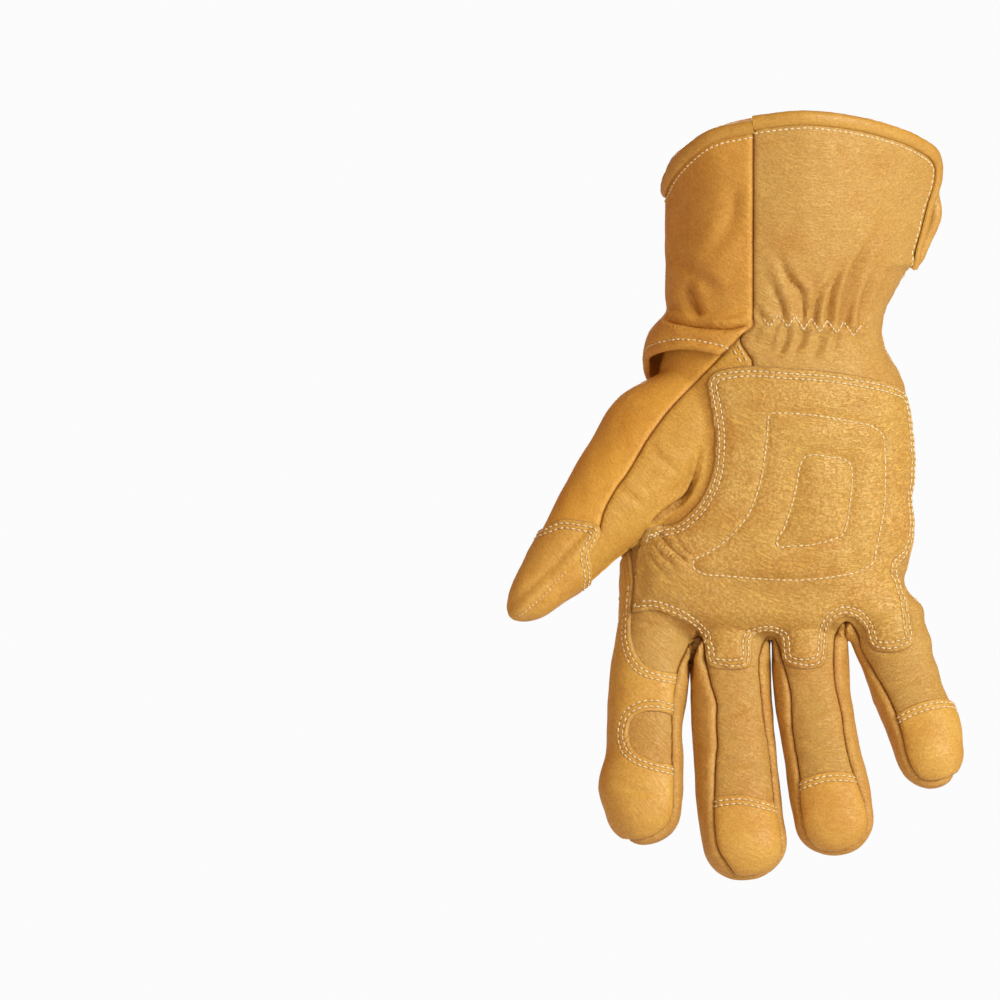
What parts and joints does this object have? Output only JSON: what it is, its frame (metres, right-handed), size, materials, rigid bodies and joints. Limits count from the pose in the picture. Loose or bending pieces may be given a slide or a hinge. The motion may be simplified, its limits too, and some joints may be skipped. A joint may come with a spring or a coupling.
{
  "type": "leather work glove with gauntlet cuff",
  "caption": "Right-hand leather work glove with a flared, slit gauntlet cuff, padded palm, knuckle band and reinforced thumb, index finger and fingertips.",
  "frame": {"origin": "centre of the wrist, where the wearer's wrist sits in the glove, at the gathers", "axes": "+Z from the fingertips towards the cuff's mouth, +Y from the palm towards the back of the hand, +X from the thumb towards the little finger"},
  "size_m": [0.1844, 0.0842, 0.3149],
  "materials": {
    "panel": "smooth golden-tan grain leather with a fine pebble, satin",
    "cuff": "the same golden-tan grain leather, a little smoother and warmer, satin",
    "patch": "golden-tan grain leather of the sewn-on reinforcements, satin",
    "strip": "golden-tan grain leather of the strips between the fingers, a little darker, matt satin",
    "binding": "folded strip of golden-tan grain leather, smooth, slightly glossy"
  },
  "bodies": {
    "root": {"palm_panel": "panel", "back_panel": "panel", "thumb_palm_panel": "panel", "thumb_back_panel": "panel", "cuff_back_panel": "cuff", "side_strip_index_middle": "strip", "side_strip_middle_ring": "strip", "side_strip_ring_little": "strip", "cuff_binding_palm": "binding", "cuff_binding_back": "binding", "palm_pad": "patch", "knuckle_band": "patch", "index_patch": "patch", "thumb_patch": "patch", "middle_tip_patch_palm": "patch", "middle_tip_patch_back": "patch", "ring_tip_patch_palm": "patch", "ring_tip_patch_back": "patch", "little_tip_patch_palm": "patch", "little_tip_patch_back": "patch"}
  },
  "joints": []
}
